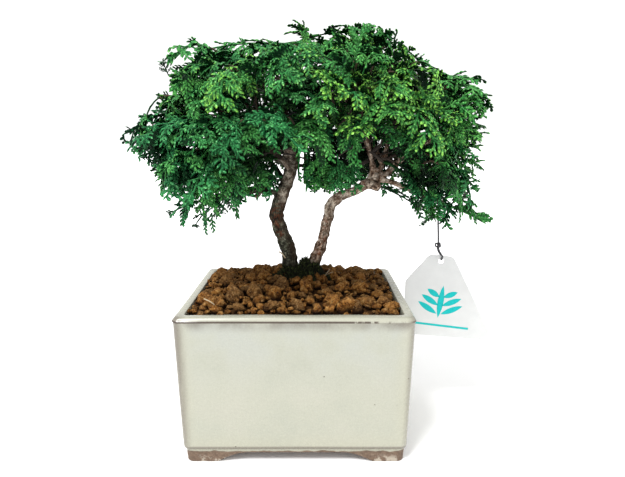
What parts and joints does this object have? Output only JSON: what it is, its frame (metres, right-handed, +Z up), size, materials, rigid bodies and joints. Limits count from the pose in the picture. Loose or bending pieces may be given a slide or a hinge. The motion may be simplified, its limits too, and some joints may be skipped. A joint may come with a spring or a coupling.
{
  "type": "potted hinoki cypress bonsai",
  "caption": "Twin-trunk hinoki cypress bonsai in a cream glazed rectangular pot, with lava gravel and a hanging tag; stands on four corner feet.",
  "frame": {"origin": "under the middle of the box round the tree and pot, on the surface that the pot's feet stand on, measured without the tag and its string", "axes": "+Z up; -Y is the front of the tree, from which both trunks show side by side; +X is the viewer's right"},
  "size_m": [0.2656, 0.1802, 0.2882],
  "materials": {
    "glaze": "satin",
    "black_mesh": "matte",
    "lava_gravel": "matte",
    "moss": "matte",
    "bark": "matte",
    "foliage": "satin",
    "tag_plastic": "satin",
    "tag_print": "satin",
    "twine": "matte"
  },
  "bodies": {
    "root": {"drain_screen": "black_mesh", "leafy_stem_01": "foliage", "leafy_stem_02": "foliage", "leafy_stem_03": "foliage", "leafy_stem_04": "foliage", "leafy_stem_05": "foliage", "leafy_stem_06": "foliage", "leafy_stem_07": "foliage", "leafy_stem_08": "foliage", "leafy_stem_09": "foliage", "leafy_stem_10": "foliage", "leafy_stem_11": "foliage", "leafy_stem_12": "foliage", "leafy_stem_13": "foliage", "leafy_stem_14": "foliage", "leafy_stem_15": "foliage", "leafy_stem_16": "foliage", "leafy_stem_17": "foliage", "leafy_stem_18": "foliage", "leafy_stem_19": "foliage", "leafy_stem_20": "foliage", "leafy_stem_21": "foliage", "leafy_stem_22": "foliage", "leafy_stem_23": "foliage", "leafy_stem_24": "foliage", "leafy_stem_25": "foliage", "leafy_stem_26": "foliage", "leafy_stem_27": "foliage", "leafy_stem_28": "foliage", "leafy_stem_29": "foliage", "leafy_stem_30": "foliage", "leafy_stem_31": "foliage", "leafy_stem_32": "foliage", "leafy_stem_33": "foliage", "leafy_stem_34": "foliage", "leafy_stem_35": "foliage", "leafy_stem_36": "foliage", "leafy_stem_37": "foliage", "leafy_stem_38": "foliage", "leafy_stem_39": "foliage", "leafy_stem_40": "foliage", "leafy_stem_41": "foliage", "leafy_stem_42": "foliage", "leafy_stem_43": "foliage", "leafy_stem_44": "foliage", "pot": "glaze", "string_hitch": "twine", "substrate": "lava_gravel", "tag": "tag_plastic", "tag_knot": "twine", "tag_loop": "twine", "tag_string": "twine", "trunk_and_branches": "bark"}
  },
  "joints": []
}
